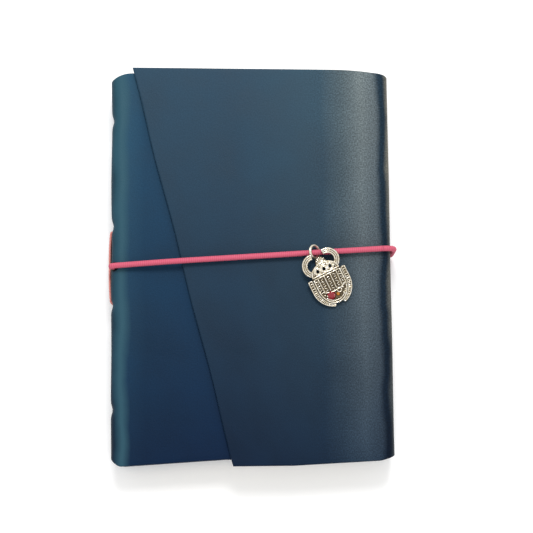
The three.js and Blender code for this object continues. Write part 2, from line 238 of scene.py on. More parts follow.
def texture(nodes, links, kind, scale, source, detail=2.0):
    """A procedural texture of this kind and scale, at the places of the source."""
    node = nodes.new(kind)
    node.inputs["Scale"].default_value = scale
    if "Detail" in node.inputs:
        node.inputs["Detail"].default_value = detail
    links.new(source, node.inputs["Vector"])
    return node


def maths(nodes, links, operation, first, second):
    """One Math node; each of its two values is a number or the output of a node."""
    node = nodes.new("ShaderNodeMath")
    node.operation = operation
    for socket, value in zip(node.inputs, (first, second)):
        if isinstance(value, (int, float)):
            socket.default_value = value
        else:
            links.new(value, socket)
    return node.outputs[0]


def ranged(nodes, links, value, low, high, to_low=0.0, to_high=1.0):
    """The value carried from one range to another, and kept within it."""
    node = nodes.new("ShaderNodeMapRange")
    links.new(value, node.inputs["Value"])
    numbers = {"From Min": low, "From Max": high, "To Min": to_low, "To Max": to_high}
    for name, number in numbers.items():
        node.inputs[name].default_value = number
    return node.outputs["Result"]


def ramp(nodes, links, value, stops):
    """Colour from a value between 0 and 1, through (place, colour) stops."""
    node = nodes.new("ShaderNodeValToRGB")
    links.new(value, node.inputs["Fac"])
    elements = node.color_ramp.elements
    for place, _ in stops[1:-1]:
        elements.new(place)
    for element, (place, colour) in zip(elements, stops):
        element.position, element.color = place, colour
    return node.outputs["Color"]


def add_bump(nodes, links, shader, height, strength, depth):
    """Turns the shader's normal by a height, as a bump of this depth in millimetres."""
    bump = nodes.new("ShaderNodeBump")
    bump.inputs["Strength"].default_value = strength
    bump.inputs["Distance"].default_value = depth * MM
    links.new(height, bump.inputs["Height"])
    links.new(bump.outputs["Normal"], shader.inputs["Normal"])


def mix(nodes, links, share, first, second, blend="MIX"):
    """The mix of two colours; its share and its colours are plain values or the outputs of nodes."""
    node = nodes.new("ShaderNodeMix")
    node.data_type = "RGBA"
    node.blend_type = blend
    for name, value in (("Factor", share), ("A", first), ("B", second)):
        kind = "VALUE" if name == "Factor" else "RGBA"
        socket = next(s for s in node.inputs if s.name == name and s.type == kind and s.enabled)
        if isinstance(value, (int, float, tuple)):
            socket.default_value = value
        else:
            links.new(value, socket)
    return next(s for s in node.outputs if s.enabled and s.type == "RGBA")


def new_group(name, inputs, outputs):
    """An empty node group, with the sockets that it is given and the sockets of its result."""
    group = bpy.data.node_groups.new(name, "ShaderNodeTree")
    for labels, way in ((inputs, "INPUT"), (outputs, "OUTPUT")):
        for label, kind in labels.items():
            group.interface.new_socket(label, in_out=way, socket_type=kind)
    given = group.nodes.new("NodeGroupInput")
    result = group.nodes.new("NodeGroupOutput")
    return group, given.outputs, result.inputs


def place_group(nodes, group):
    """A node of a material that stands for the group."""
    node = nodes.new("ShaderNodeGroup")
    node.node_tree = group
    return node


def own_map(nodes, name):
    """A piece's own map.

    rest holds X and Y as the piece lies closed, and hide the way along the leather and Y, both in
    metres. along holds the share of a turn round a strand, and the way along it in millimetres.
    """
    node = nodes.new("ShaderNodeUVMap")
    node.uv_map = name
    return node.outputs["UV"]


# Textures of the leather: how many cells or waves there are in a metre
PORES = 1500
FINE_GRAIN = 1700
CREASES = 230
CLOUDS = 38

# How much pores and creases add to the fine grain
PORE_SHARE = 0.5
CREASE_SHARE = 1.6

# Which values of the noises count, and how far the cloud changes the tone
CLOUD_RANGE = (0.35, 0.65)
SPECK_RANGE = (0.38, 0.68)
SPECK_MIDDLE = 0.45
CLOUD_TONES = (0.9, 1.1)

# Painted light from head to tail: shares of red, green and blue that the leather keeps at the lit head and
# at the shaded tail
HEAD_SHADE = (1.6, 1.55, 1.5)
TAIL_SHADE = (0.24, 0.36, 0.56)


def leather_surface_group():
    """Grain, tone and painted light of tanned leather, from a piece's maps rest and hide.

    Height is pores, grain and creases for the bump, and Mottle a slow cloud. Shade is what the
    leather keeps of a colour: the share by its place from tail to head, a painted light that is
    paler at the head and a deeper blue shade at the tail, times 1 + specks * Speck Strength, times the
    tone of the cloud. Where Speck Strength is high the pale specks are a painted sheen.
    """
    group, given, result = new_group(
        "leather_surface",
        {"Rest": "NodeSocketVector", "Hide": "NodeSocketVector", "Speck Strength": "NodeSocketFloat"},
        {"Height": "NodeSocketFloat", "Mottle": "NodeSocketFloat", "Shade": "NodeSocketColor"},
    )
    nodes, links = group.nodes, group.links
    pores = texture(nodes, links, "ShaderNodeTexVoronoi", PORES, given["Hide"])
    fine = texture(nodes, links, "ShaderNodeTexNoise", FINE_GRAIN, given["Hide"], 3)
    crease = texture(nodes, links, "ShaderNodeTexNoise", CREASES, given["Hide"], 5)
    cloud = texture(nodes, links, "ShaderNodeTexNoise", CLOUDS, given["Hide"], 4)
    pits = maths(nodes, links, "MULTIPLY", pores.outputs["Distance"], PORE_SHARE)
    grain = maths(nodes, links, "ADD", pits, fine.outputs[0])
    creased = maths(nodes, links, "MULTIPLY", crease.outputs[0], CREASE_SHARE)
    links.new(maths(nodes, links, "ADD", grain, creased), result["Height"])
    mottle = ranged(nodes, links, cloud.outputs[0], *CLOUD_RANGE)
    links.new(mottle, result["Mottle"])
    specks = ranged(nodes, links, fine.outputs[0], *SPECK_RANGE)
    centred = maths(nodes, links, "SUBTRACT", specks, SPECK_MIDDLE)
    strong = maths(nodes, links, "MULTIPLY", centred, given["Speck Strength"])
    specked = maths(nodes, links, "ADD", strong, 1.0)
    cloudy = ranged(nodes, links, mottle, 0, 1, *CLOUD_TONES)
    mottled = maths(nodes, links, "MULTIPLY", specked, cloudy)
    axes = nodes.new("ShaderNodeSeparateXYZ")
    links.new(given["Rest"], axes.inputs[0])
    shade = nodes.new("ShaderNodeCombineColor")
    end_y = half_height * MM
    for socket, tail, head in zip(shade.inputs, TAIL_SHADE, HEAD_SHADE):
        kept = ranged(nodes, links, axes.outputs["Y"], -end_y, end_y, tail, head)
        links.new(maths(nodes, links, "MULTIPLY", kept, mottled), socket)
    links.new(shade.outputs[0], result["Shade"])
    return group


leather_surface = leather_surface_group()

WANDER = 1.6
# How strongly the grain specks the colour: plainly, and as a painted sheen of pale specks where the flap
# rounds the fore edge
SPECK_PLAIN = 0.16
SPECK_SHEEN = 0.75
SHEEN_REACH = 16
# A painted highlight along the spine's fold: its colour, its share, and the distances where it is full and
# where it is gone
GLOW_COLOUR = "2f5260"
GLOW_SHARE = 0.85
GLOW_RADII = (0.4, 3.4)
# Painted shade in the hole that the cord comes out of: its colour, and the distances where it is full and
# where it is gone
HOLE_SHADE_COLOUR = "05080b"
HOLE_SHADE_RADII = (1.7, 2.1)
LEATHER_ROUGHNESS = (0.42, 0.58)
GRAIN_STRENGTH = 0.3
GRAIN_DEPTH = 0.12


def painted_fold_highlight(nodes, links, colour, across, middle):
    """A painted highlight along a fold: turns the colour to GLOW_COLOUR near a line from head to tail, by
    distance from its middle.
    """
    beside = maths(nodes, links, "SUBTRACT", across, middle * MM)
    away = maths(nodes, links, "ABSOLUTE", beside, 0)
    near, far = (radius * MM for radius in GLOW_RADII)
    glow = ranged(nodes, links, away, near, far, GLOW_SHARE, 0.0)
    return mix(nodes, links, glow, colour, linear(GLOW_COLOUR))


def painted_hole_shade(nodes, links, colour, middle):
    """Paints dark shade in a hole: the colour turns to the hole's dark colour near a place on the hide, by
    distance from it.
    """
    reach = nodes.new("ShaderNodeVectorMath")
    reach.operation = "DISTANCE"
    links.new(own_map(nodes, "hide"), reach.inputs[0])
    reach.inputs[1].default_value = (middle[0] * MM, middle[1] * MM, 0)
    near, far = (radius * MM for radius in HOLE_SHADE_RADII)
    inside = ranged(nodes, links, reach.outputs["Value"], near, far, 1.0, 0.0)
    return mix(nodes, links, inside, colour, linear(HOLE_SHADE_COLOUR))


def leather_material(name, low_x, high_x, stops, glow_x=None, sheen_x=None, hole=None):
    """Blue leather, with light and shade painted into its colour.

    Across the width the colour changes by stops: painted highlights and shade where the leather
    rounds the folds. It is paler and greyer towards the head, painted light. glow_x is the middle of a
    painted highlight along a fold that keeps its colour from head to tail. Beyond sheen_x the grain
    shows as pale specks, a painted sheen. hole is the middle of painted dark shade in a hole on the
    hide.
    """
    material, nodes, links, shader = new_material(name, 0.5, specular=0.08)
    rest = own_map(nodes, "rest")
    axes = nodes.new("ShaderNodeSeparateXYZ")
    links.new(rest, axes.inputs[0])
    surface = place_group(nodes, leather_surface)
    links.new(rest, surface.inputs["Rest"])
    links.new(own_map(nodes, "hide"), surface.inputs["Hide"])
    surface.inputs["Speck Strength"].default_value = SPECK_PLAIN
    # Painted sheen: the specks grow strong over SHEEN_REACH beyond sheen_x
    if sheen_x is not None:
        low, high = sheen_x * MM, (sheen_x + SHEEN_REACH) * MM
        strength = ranged(nodes, links, axes.outputs["X"], low, high, SPECK_PLAIN, SPECK_SHEEN)
        links.new(strength, surface.inputs["Speck Strength"])
    mottle = surface.outputs["Mottle"]
    centred = maths(nodes, links, "SUBTRACT", mottle, 0.5)
    wander = maths(nodes, links, "MULTIPLY", centred, WANDER * MM)
    wandered = maths(nodes, links, "ADD", axes.outputs["X"], wander)
    across = ranged(nodes, links, wandered, low_x * MM, high_x * MM)
    width = high_x - low_x
    places = [((x - low_x) / width, linear(code)) for x, code in stops]
    colours = ramp(nodes, links, across, places)
    colour = mix(nodes, links, 1.0, colours, surface.outputs["Shade"], "MULTIPLY")
    # Painted highlight along a fold
    if glow_x is not None:
        colour = painted_fold_highlight(nodes, links, colour, wandered, glow_x)
    if hole is not None:
        colour = painted_hole_shade(nodes, links, colour, hole)
    links.new(colour, shader.inputs["Base Color"])
    links.new(ranged(nodes, links, mottle, 0, 1, *LEATHER_ROUGHNESS), shader.inputs["Roughness"])
    add_bump(nodes, links, shader, surface.outputs["Height"], GRAIN_STRENGTH, GRAIN_DEPTH)
    return material


# Painted light across the front cover: a paler, painted highlight over the spine's fold
front_leather = leather_material(
    "front_leather",
    left,
    left + 50,
    [
        (left, "15303d"),
        (left + 2.2, "1f3f4c"),
        (left + 7.5, "1c3b4f"),
        (left + 14, "163348"),
        (left + 50, "15324a"),
    ],
    # Painted highlight along the spine's fold
    glow_x=left + 4.4,
    # Painted shade in the hole where the cord comes out of the front fold
    hole=(front_end_x - left_fold_x + FOLD_MIDDLE * (math.pi / 2 - HOLE_ANGLE), CORD_START_Y),
)
# Painted light across the flap: a painted sheen where it rounds the fore edge, painted shade on the
# roll-off, and a painted highlight on the very edge
flap_leather = leather_material(
    "flap_leather",
    left,
    right,
    [
        (left, "1f3444"),
        (right - 62, "1f3444"),
        (right - 27, "263a47"),
        (right - 19, "3a484f"),
        (right - 11, "535d60"),
        (right - 5.5, "465055"),
        (right - 3.4, "142430"),
        (right - 1.9, "14232f"),
        (right - 0.8, "4a4c48"),
        (right, "5b5a52"),
    ],
    sheen_x=right - 34,
)
# Painted light across the back cover: paler, painted highlights over the folds at the spine and at the
# fore edge
back_leather = leather_material(
    "back_leather",
    left,
    right,
    [
        (left, "183440"),
        (left + 4, "213f4d"),
        (left + 15, "1b3344"),
        (right - 15, "203747"),
        (right - 4, "2e4049"),
        (right, "393a38"),
    ],
)


def toned_noise(nodes, links, shader, scale, detail, stops):
    """Colours the shader by a noise of the object's own places; returns the noise."""
    place = nodes.new("ShaderNodeTexCoord").outputs["Object"]
    noise = texture(nodes, links, "ShaderNodeTexNoise", scale, place, detail).outputs[0]
    tones = [(level, linear(code)) for level, code in stops]
    links.new(ramp(nodes, links, noise, tones), shader.inputs["Base Color"])
    return noise


# Waves in a metre and tones of the paper's fibres and of the cast metal
FIBRES = 420
CAST_GRAIN = 1400
RECESS_GRAIN = 2400
PAPER_TONES = [(0.3, "e4dac3"), (0.5, "ebe3cf"), (0.7, "f0e9d7")]
SILVER_TONES = [(0.28, "a39274"), (0.45, "e2d8bf"), (0.62, "fffaf0")]
RECESS_TONES = [(0.35, "2c251b"), (0.52, "5f523d"), (0.7, "9c8d71")]


def paper_material():
    """Cream paper with faint fibres."""
    material, nodes, links, shader = new_material("cream_paper", 0.92, specular=0.2)
    fibres = toned_noise(nodes, links, shader, FIBRES, 6, PAPER_TONES)
    add_bump(nodes, links, shader, fibres, 0.15, 0.05)
    return material


RIBS_ROUND = 6


def weave_group():
    """Two sets of ribs that cross round a strand, from its map along.

    Weave is (1 + sin(turn + way) * sin(turn - way)) / 2. turn has RIBS_ROUND waves round the strand,
    and way has one in each Pitch along it.
    """
    group, given, result = new_group(
        "weave",
        {"Along": "NodeSocketVector", "Pitch": "NodeSocketFloat"},
        {"Weave": "NodeSocketFloat"},
    )
    nodes, links = group.nodes, group.links
    axes = nodes.new("ShaderNodeSeparateXYZ")
    links.new(given["Along"], axes.inputs[0])
    turn = maths(nodes, links, "MULTIPLY", axes.outputs["X"], 2 * math.pi * RIBS_ROUND)
    waves = maths(nodes, links, "DIVIDE", 2 * math.pi, given["Pitch"])
    way = maths(nodes, links, "MULTIPLY", axes.outputs["Y"], waves)
    plus = maths(nodes, links, "SINE", maths(nodes, links, "ADD", turn, way), 0)
    minus = maths(nodes, links, "SINE", maths(nodes, links, "SUBTRACT", turn, way), 0)
    crossed = maths(nodes, links, "MULTIPLY", plus, minus)
    links.new(ranged(nodes, links, crossed, -1, 1), result["Weave"])
    return group


weave = weave_group()


def cord_material(name, pale, deep, pitch):
    """Woven cord, pale on its ribs and deep between them. pitch is a rib's length in millimetres."""
    material, nodes, links, shader = new_material(name, 0.75, specular=0.25)
    woven = place_group(nodes, weave)
    links.new(own_map(nodes, "along"), woven.inputs["Along"])
    woven.inputs["Pitch"].default_value = pitch
    ribs = woven.outputs["Weave"]
    links.new(mix(nodes, links, ribs, linear(deep), linear(pale)), shader.inputs["Base Color"])
    add_bump(nodes, links, shader, ribs, 0.35, 0.06)
    return material


def antique_metal():
    """Pale silver with a warm tone, smoother where it is paler."""
    material, nodes, links, shader = new_material("antique_silver", 0.3, metallic=0.9)
    cast = toned_noise(nodes, links, shader, CAST_GRAIN, 4, SILVER_TONES)
    links.new(ranged(nodes, links, cast, 0.3, 0.7, 0.36, 0.16), shader.inputs["Roughness"])
    add_bump(nodes, links, shader, cast, 0.35, 0.1)
    return material


def recess_metal():
    """The low ground of the casting and its plain back: dulled, with a fine lighter grain."""
    material, nodes, links, shader = new_material("blackened_recess", 0.42, metallic=0.7)
    toned_noise(nodes, links, shader, RECESS_GRAIN, 4, RECESS_TONES)
    return material


def gem(name, code):
    """Polished coloured glass."""
    material, nodes, links, shader = new_material(name, 0.06, specular=0.6)
    shader.inputs["Base Color"].default_value = linear(code)
    shader.inputs["Coat Weight"].default_value = 0.4
    return material


paper = paper_material()
pink_cord = cord_material("pink_elastic", "d56a80", "b8445c", 1.5)
salmon_thread = cord_material("salmon_thread", "e8a49a", "b8605a", 1.2)
silver = antique_metal()
recess = recess_metal()
red_glass = gem("red_stone_glass", "86061a")
# The amber glass paints a yellow glint beside the red stone
amber_glint_glass = gem("amber_glint_glass", "b4700f")


# Leather

NOTCHES = (58.5, 16.0, -15.5, -56.5)
NOTCH_DEPTH = 0.75
NOTCH_HALF = 2.0
NOTCH_REACH = 9
SPINE_WAVE = 0.12


def spine_notch(x, y):
    """How far the spine is drawn in: a narrow dip at each sewing station and a slow wave.

    Both fade over NOTCH_REACH from the spine.
    """
    near = np.clip(1 - (x - left) / NOTCH_REACH, 0, 1) ** 2
    dips = sum(NOTCH_DEPTH * np.exp(-(((y - station) / NOTCH_HALF) ** 2)) for station in NOTCHES)
    return near * (dips + SPINE_WAVE * (np.sin(y / 7.0) + 1))


def corner_draw(x, reach, depth):
    """How far the leather's corner at the spine is rounded off, by distance from the spine."""
    return depth * np.clip(1 - (x - left) / reach, 0, 1) ** 2


def fore_draw(x, reach, depth):
    """How far the leather is drawn in towards the fore edge, as a parabola that starts at this reach."""
    return depth * np.clip((x - right + reach) / reach, 0, 1) ** 2


def fore_corner(x, reach, depth):
    """How far the corner at the fore edge is rounded off, as a quarter of an ellipse."""
    return depth * (1 - np.sqrt(1 - np.clip((x - right + reach) / reach, 0, 1) ** 2))


EDGE_ROUND = 0.55
EDGE_STEPS = np.array([0.0, 0.03, 0.11, 0.25, 0.4, EDGE_ROUND])
EDGE_LEAST = 0.04
RIPPLE = 0.1


def edge_thickness(distance):
    """Share of the thickness near a cut edge: a quarter circle over EDGE_ROUND."""
    inwards = np.clip(distance / EDGE_ROUND, 0, 1)
    return np.sqrt(np.clip(1 - (1 - inwards) ** 2, EDGE_LEAST**2, 1))


def free_end(start, direction):
    """Close points at a free end of a profile, where the leather's edge is rounded."""
    return np.asarray(start) + EDGE_STEPS[:, None] * np.asarray(direction, float)


def ripple(x, y):
    """Faint unevenness of the leather: the product of two slow waves that cross."""
    return RIPPLE * np.sin(x / 11 + y / 17) * np.sin(y / 23 - x / 31)


def sheet_shell(name, profile, ends, material, rows=140, squeeze=None, cut_start=False, cut_end=False):
    """Leather of one thickness whose middle follows a profile in X and Z.

    ends gives its head and its tail in Y, each as a function of X. A point is profile + normal *
    (side * half thickness * edge rounding + ripple). cut_start and cut_end say whether the profile
    starts and ends at a cut edge. squeeze moves the points in X.
    """
    step = directions(profile)
    normal = np.stack([-step[:, 1], step[:, 0]], -1)
    way = path_length(profile)[:, None]
    x, z = profile[:, :1], profile[:, 1:]
    head_y, tail_y = ends
    low, high = tail_y(x), head_y(x)
    share = np.linspace(0, 1, rows)[None, 1:-1]
    inner_low, inner_high = low + EDGE_ROUND, high - EDGE_ROUND
    between = inner_low + (inner_high - inner_low) * share
    y = np.concatenate([low + EDGE_STEPS, between, high - EDGE_STEPS[::-1]], axis=1)
    half = LEATHER / 2 * edge_thickness(np.minimum(y - low, high - y))
    if cut_start:
        half = half * edge_thickness(way)
    if cut_end:
        half = half * edge_thickness(way[-1] - way)
    uneven = ripple(x, y)
    faces = []
    for side in (1, -1):
        offset = side * half + uneven
        px = x + normal[:, :1] * offset
        pz = z + normal[:, 1:] * offset
        if squeeze is not None:
            px = squeeze(px, y)
        faces.append(np.stack([px + spine_notch(px, y), y + 0 * px, pz + 0 * y], -1))
    ring = np.concatenate([faces[0], faces[1][::-1]])
    count, columns = len(profile), y.shape[1]
    outer = np.arange(count - 1)
    inner = 2 * count - 1 - outer
    strip = np.stack([outer, outer + 1, inner - 1, inner], -1) * columns
    tail, head = strip[:, ::-1], strip + columns - 1
    quads = np.concatenate([grid_quads(2 * count, columns, wrap=True), tail, head])
    rest = ring[:, :, :2] * MM
    along = np.concatenate([way, way[::-1]]) + 0 * ring[:, :, 0]
    hide = np.stack([along, ring[:, :, 1]], -1) * MM
    maps = {"rest": rest.reshape(-1, 2), "hide": hide.reshape(-1, 2)}
    return make_mesh(name, ring.reshape(-1, 3), quads, material, maps=maps)


# Where the leather ends at the head and at the tail, and how its corners are drawn in
COVER_HEAD = 77.7
FORE_HEAD = half_height - 4.4
FLAP_HEAD = half_height + 0.5
COVER_TAIL = -half_height + 0.2
FLAP_TAIL = -half_height + 0.1
HEAD_REACH = 22
TAIL_REACH = 8


def spine_head(x):
    """Head of the leather near the spine."""
    return COVER_HEAD - corner_draw(x, 8, 3.4)


def front_head(x):
    """Head of the front cover."""
    return spine_head(x) - fore_draw(x, HEAD_REACH, 3.0)


def front_tail(x):
    """Tail of the front cover, which rises over the first 45 mm."""
    return COVER_TAIL + 2.6 * np.clip((x - left) / 45, 0, 1) + corner_draw(x, 4.5, 4.2)


def back_head(x):
    """Head of the back cover and the fore-edge strip."""
    return spine_head(x) - fore_draw(x, HEAD_REACH, COVER_HEAD - FORE_HEAD)


def back_tail(x):
    """Tail of the back cover and the fore-edge strip."""
    return front_tail(x) + fore_corner(x, TAIL_REACH, 2.1)


def flap_head(x):
    """Head of the flap, which falls over 95 mm and meets the strip's head at the fore edge."""
    fall = 2.0 * np.clip((x - slant_head_x) / 95, 0, 1)
    return FLAP_HEAD - fall - fore_draw(x, HEAD_REACH, 2.1) - fore_corner(x, 5, 0.8)


def flap_tail(x):
    """Tail of the flap, which rises over 56 mm and meets the strip's tail at the fore edge."""
    rise = 1.6 * np.clip((x - slant_tail_x) / 56, 0, 1)
    return FLAP_TAIL + rise + fore_corner(x, TAIL_REACH, 3.2)


# Heights at which one leather piece hands over to the next, within SEAM_GAP
SEAM_FRONT = front_fold_z - 1.6
SEAM_FLAP = flap_fold_z - 1.6
SEAM_GAP = 0.02
spine_x = left + LEATHER / 2
fore_x = right - LEATHER / 2
front_level = front_fold_z + FOLD_MIDDLE
back_level = back_fold_z - FOLD_MIDDLE
flap_level = flap_fold_z + FOLD_MIDDLE

front_profile = np.concatenate(
    [
        free_end((front_end_x, front_level), (-1, 0)),
        run((front_end_x - 1, front_level), (left_fold_x + 0.4, front_level), 90),
        arc(left_fold_x, front_fold_z, FOLD_MIDDLE, 90, 180, 14),
        run((spine_x, front_fold_z - 0.4), (spine_x, SEAM_FRONT), 4),
    ]
)
back_profile = np.concatenate(
    [
        run((spine_x, SEAM_FRONT - SEAM_GAP), (spine_x, back_fold_z + 0.4), 12),
        arc(left_fold_x, back_fold_z, FOLD_MIDDLE, 180, 270, 14),
        run((left_fold_x + 0.6, back_level), (right_fold_x - 0.6, back_level), 80),
        arc(right_fold_x, back_fold_z, FOLD_MIDDLE, 270, 340, 12),
    ]
)
fore_profile = np.concatenate(
    [
        arc(right_fold_x, back_fold_z, FOLD_MIDDLE, 340.5, 360, 5),
        run((fore_x, back_fold_z + 0.4), (fore_x, SEAM_FLAP), 16),
    ]
)
flap_profile = np.concatenate(
    [
        run((fore_x, SEAM_FLAP + SEAM_GAP), (fore_x, flap_fold_z - 0.4), 4),
        arc(right_fold_x, flap_fold_z, FOLD_MIDDLE, 0, 90, 14),
        run((right_fold_x - 0.4, flap_level), (slant_head_x + 1, flap_level), 110),
        free_end((slant_head_x, flap_level), (1, 0))[::-1],
    ]
)


FREE_EDGE_WAVE = 0.25


def slanted(px, y):
    """Draws the flat of the flap in, so that its free edge slants from head to tail in a faint wave."""
    down = (half_height - y) / (2 * half_height)
    edge = slant_head_x + (slant_tail_x - slant_head_x) * down + FREE_EDGE_WAVE * np.sin(y / 9)
    reach = (right_fold_x - px) / (right_fold_x - slant_head_x)
    return np.where(px < right_fold_x, right_fold_x - reach * (right_fold_x - edge), px)


back_ends = (back_head, back_tail)
front_piece = sheet_shell(
    "front_cover_leather", front_profile, (front_head, front_tail), front_leather, cut_start=True
)
back_piece = sheet_shell("back_cover_leather", back_profile, back_ends, back_leather)
fore_piece = sheet_shell("fore_edge_leather", fore_profile, back_ends, back_leather, rows=90)
flap_piece = sheet_shell(
    "flap_leather", flap_profile, (flap_head, flap_tail), flap_leather, squeeze=slanted, cut_end=True
)

for piece, nodes_replaced in (
    (front_piece, ["front_cover"]),
    (back_piece, ["back_cover", "spine"]),
    (fore_piece, ["fore_edge_strip"]),
    (flap_piece, ["flap"]),
):
    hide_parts(*nodes_replaced)

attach(back_piece, "book")


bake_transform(front_piece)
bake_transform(fore_piece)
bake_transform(flap_piece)


# Paper

LEAF_STEP = 0.12
FORE_CURVE = 0.25
LEAF_WOBBLE = 0.08
PAPER_ROWS = 60
PAPER_STEPS = 24


def paper_block(name, node, body, leaves, folded):
    """A stack of leaves, carried from tail to head as one outline in X and Z.

    The outline steps in and out by leaf at the fore edge, and is round at the fold.
    """
    (low_x, low_y, low_z), (high_x, high_y, high_z) = span(node)
    thick = high_z - low_z
    count = 2 * leaves + 1
    curve = FORE_CURVE * np.linspace(-1, 1, count) ** 2
    steps = LEAF_STEP * (np.arange(count) % 2)
    fore = np.stack([high_x - steps - curve, np.linspace(low_z, high_z, count)], -1)
    start_x = low_x + (thick / 2 if folded else 0)
    inset = 0.02 * (high_x - start_x)
    top = run((high_x - inset, high_z), (start_x + inset, high_z), PAPER_STEPS)
    base = run((start_x + inset, low_z), (high_x - inset, low_z), PAPER_STEPS)
    if folded:
        fold = arc(start_x, (low_z + high_z) / 2, thick / 2, 90, 270, 12)
    else:
        fold = np.array([[low_x, high_z], [low_x, low_z]])
    outline = np.concatenate([fore, top, fold, base])
    size = len(outline)
    y = np.linspace(low_y, high_y, PAPER_ROWS)
    middle = np.repeat(outline.mean(0)[None], size, 0)
    shapes = [middle] + [outline] * PAPER_ROWS + [middle]
    rings = []
    for level, shape in zip((y[0], *y, y[-1]), shapes):
        wobble = np.abs(LEAF_WOBBLE * np.sin(level / 5 + outline[:, 1] * 3))
        rings.append(np.stack([shape[:, 0] - wobble, np.full(size, level), shape[:, 1]], -1))
    points = np.stack(rings, 1).reshape(-1, 3)
    quads = grid_quads(size, len(rings), wrap=True)
    obj = make_mesh(name, points, quads, paper, smooth=False)
    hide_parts(node)
    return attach(obj, body)


for number in (1, 2, 3):
    paper_block(f"section_{number}_leaves", f"section_{number}", "book", 8, True)
paper_block("section_4_leaves", "section_4", "book", 3, True)
paper_block("section_5_leaves", "section_5", "top_section", 8, True)
paper_block("turning_leaf_1", "leaf_1", "leaf_1", 1, False)
paper_block("turning_leaf_2", "leaf_2", "leaf_2", 1, False)


# Cord and thread

CORD_GAP = 0.3
BEND = 5.0
STRAND_SIDES = 20
THREAD_RADIUS = 0.45
THREAD_SIDES = 12
cord_up = (-math.sin(cord_lean), math.cos(cord_lean), 0)
bend_x = right + CORD_GAP + CORD_RADIUS - left
run_end = bend_x - BEND


def cord_point(along, z):
    """A point of the cord's upright plane: the way along it from the spine's outside, and height."""
    x = left + along * math.cos(cord_lean)
    y = CORD_START_Y + along * math.sin(cord_lean)
    return (x, y, z)


def strand(name, path, node, body, look):
    """One cord or thread, with a map of its turn and of the way along it for the weave.

    look holds radius, sides, up, swell, material and slot; the slot is not used.
    """
    radius, sides, up, swell, material, slot_name = look
    points, quads = tube_grid(path, radius, sides, up, swell)
    way = ends_repeated(path_length(path))
    turn = np.arange(sides) / sides
    along = np.stack(np.meshgrid(turn, way, indexing="ij"), -1).reshape(-1, 2)
    obj = make_mesh(name, points, quads, material, maps={"along": along})
    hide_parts(node)
    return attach(obj, body)


def fold_point(radius, angle):
    """A place beside the front fold, by the distance from its axis and the angle above the book."""
    return (FOLD - radius * math.cos(angle), front_fold_z + radius * math.sin(angle))


seat = FOLD + CORD_RADIUS + CORD_GAP
front_cover_top = front_fold_z + FOLD
front_knots = [
    fold_point(0.3, HOLE_ANGLE),
    fold_point(FOLD + CORD_RADIUS / 2, HOLE_ANGLE),
    fold_point(seat + 0.8 * CORD_RADIUS, HOLE_ANGLE + 0.35),
    (FOLD + 3, front_cover_top + CORD_GAP + 2 * CORD_RADIUS),
    (20, cord_z - CORD_RADIUS / 2),
    (30, cord_z),
    (31, cord_z),
    (32, cord_z),
]
level_knots = [(x, cord_z) for x in np.linspace(40, run_end, 8)]
front_path = smooth_path([cord_point(x, z) for x, z in front_knots + level_knots], 14)

bend_profile = np.concatenate(
    [
        run((run_end + 0.01, cord_z), (run_end + 0.3, cord_z), 2),
        arc(run_end, cord_z - BEND, BEND, 88, 0, 18),
        run((bend_x, cord_z - BEND - 1), (bend_x, CORD_RADIUS + BEND + 1), 14),
        arc(run_end, CORD_RADIUS + BEND, BEND, 0, -88, 18),
        run((run_end + 0.1, CORD_RADIUS), (run_end, CORD_RADIUS), 2),
    ]
)
bend_path = np.array([cord_point(x, z) for x, z in bend_profile])
TURN = 1.55 * CORD_RADIUS
rear_hole = FOLD + 1
rear_profile = np.concatenate(
    [
        run((run_end - 0.1, CORD_RADIUS), (rear_hole + TURN + 0.3, CORD_RADIUS), 90),
        arc(rear_hole + TURN, CORD_RADIUS + TURN, TURN, -90, -180, 10),
        run((rear_hole, CORD_RADIUS + TURN + 0.3), (rear_hole, 5.4), 4),
    ]
)
rear_path = np.array([cord_point(x, z) for x, z in rear_profile])

elastic_look = (CORD_RADIUS, STRAND_SIDES, cord_up, None, pink_cord, "elastic")
strand("elastic_front", front_path, "elastic_front_run", "cord_front", elastic_look)
strand("elastic_bend", bend_path, "elastic_fore_edge_bend", "cord_bend", elastic_look)
strand("elastic_rear", rear_path, "elastic_rear_run", "book", elastic_look)


def plied(angle, length):
    """Two plies that turn round each other: the radius swells twice each turn."""
    return 0.86 + 0.14 * np.abs(np.cos(angle + length * 2.4))


thread_look = (THREAD_RADIUS, THREAD_SIDES, (0, 0, 1), plied, salmon_thread, "thread")
for number in range(1, 6):
    low, high = span(f"stitch_{number}")
    level = (low[2] + high[2]) / 2
    half = high[1] - 0.4
    outer = left - 0.35
    bow = 0.55 - 0.07 * abs(number - 3)
    thread_knots = [
        (left + 1.3, half, level),
        (left, half, level),
        (outer, half - 1.2, level),
        (outer - bow * 0.8, half / 2, level + 0.12),
        (outer - bow, 0, level - 0.05),
        (outer - bow * 0.8, -half / 2, level + 0.1),
        (outer, 1.2 - half, level),
        (left, -half, level),
        (left + 1.3, -half, level),
    ]
    thread_path = smooth_path(thread_knots, 16)
    strand(f"sewing_{number}", thread_path, f"stitch_{number}", "book", thread_look)


# Charm

